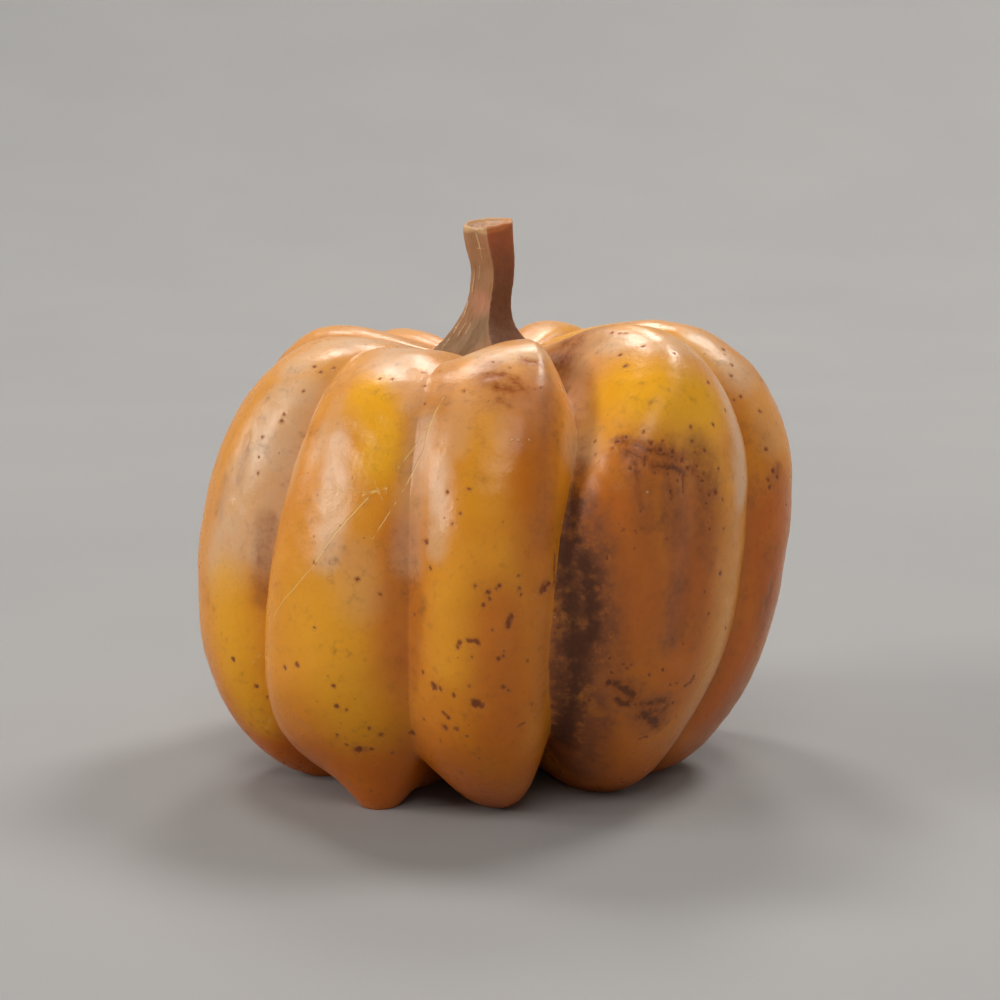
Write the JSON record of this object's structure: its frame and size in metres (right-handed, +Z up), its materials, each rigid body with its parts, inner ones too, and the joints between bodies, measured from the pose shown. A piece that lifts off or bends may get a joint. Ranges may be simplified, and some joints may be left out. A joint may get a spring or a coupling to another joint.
{
  "type": "pumpkin",
  "caption": "Ripe ribbed pumpkin: a squat round fruit with uneven lobes, a sunken top and a dried, ridged stem that flares at its base.",
  "frame": {"origin": "on the floor under the middle of the pumpkin's outline, as seen from above", "axes": "+Z up through the hollow that the stem stands in; -Y is the front that the picture shows, +X is the viewer's right"},
  "size_m": [0.2474, 0.2433, 0.2295],
  "materials": {
    "rind": "satin",
    "stem": "matte"
  },
  "bodies": {
    "root": {"fruit": "rind", "stem": "stem"}
  },
  "joints": []
}
